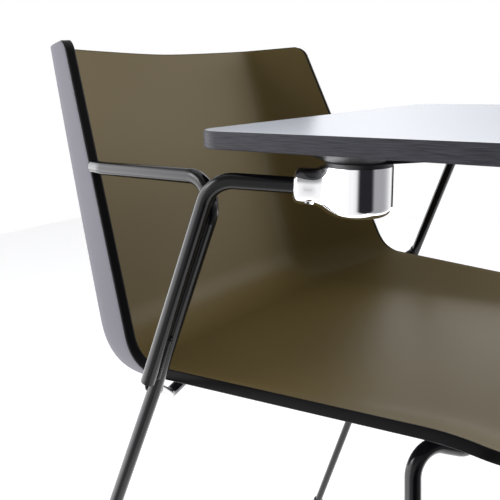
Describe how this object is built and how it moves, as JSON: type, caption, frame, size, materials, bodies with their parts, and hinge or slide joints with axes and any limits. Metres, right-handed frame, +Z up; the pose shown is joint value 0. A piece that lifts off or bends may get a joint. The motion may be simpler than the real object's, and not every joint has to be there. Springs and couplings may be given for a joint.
{
  "type": "student desk chair",
  "caption": "Student chair: bent laminate shell with turned-up sides, bent steel rod legs that rise into armrests, and a writing tablet that swivels aside.",
  "frame": {"origin": "on the floor, under the middle of the bounding box", "axes": "+Z up, the front of the chair towards -Y, the right hand of the person sitting towards -X; the tablet is on that right side, at its rest place in front of the seat"},
  "size_m": [0.6198, 0.526, 0.7603],
  "materials": {
    "shell_core": "dark pressed core, sawn edge",
    "shell_inner": "satin olive-brown laminate",
    "shell_outer": "smooth pale grey laminate",
    "rod_paint": "gloss black powder coat over steel rod",
    "tab_paint": "gloss black powder coat over steel plate",
    "pad_rubber": "matt",
    "zinc_steel": "zinc plated",
    "black_screw": "black oxide",
    "brass_insert": "turned",
    "glide_plastic": "moulded, fine grain",
    "hub_polish": "polished casting",
    "bush_plastic": "moulded nylon",
    "pale_bush": "moulded acetal",
    "flange_paint": "satin black powder coat",
    "tablet_core": "dark pressed core, sawn edge",
    "tablet_top": "pale satin laminate",
    "tablet_backing": "black backing laminate"
  },
  "bodies": {
    "chair": {"shell_core": "shell_core", "shell_inner_laminate": "shell_inner", "shell_outer_laminate": "shell_outer", "right_leg_rod": "rod_paint", "left_leg_rod": "rod_paint", "rear_cross_rod": "rod_paint", "front_frame_rod": "rod_paint", "right_seat_rail": "rod_paint", "left_seat_rail": "rod_paint", "seat_tabs": "tab_paint", "seat_pads": "pad_rubber", "seat_screws": "zinc_steel", "seat_inserts": "brass_insert", "arm_studs": "zinc_steel", "rear_right_glide": "glide_plastic", "rear_left_glide": "glide_plastic", "front_right_glide": "glide_plastic", "front_left_glide": "glide_plastic", "tablet_arm_rod": "rod_paint", "hub_casting": "hub_polish", "arm_set_screw": "black_screw", "retaining_screw": "black_screw", "swivel_stop_pin": "zinc_steel", "upper_bush": "bush_plastic", "lower_bush": "pale_bush", "spring_washers": "zinc_steel"},
    "tablet": {"pivot_spindle": "zinc_steel", "flange_plate": "flange_paint", "flange_screws": "zinc_steel", "tablet_inserts": "brass_insert", "tablet_core": "tablet_core", "tablet_top_laminate": "tablet_top", "tablet_bottom_laminate": "tablet_backing"}
  },
  "joints": [
    {"name": "tablet_swivel", "type": "hinge", "parent": "chair", "child": "tablet", "pos_m": [-0.1972, -0.1029, 0.665], "axis": [0, 0, 1], "range_deg": [-105, 0]}
  ]
}
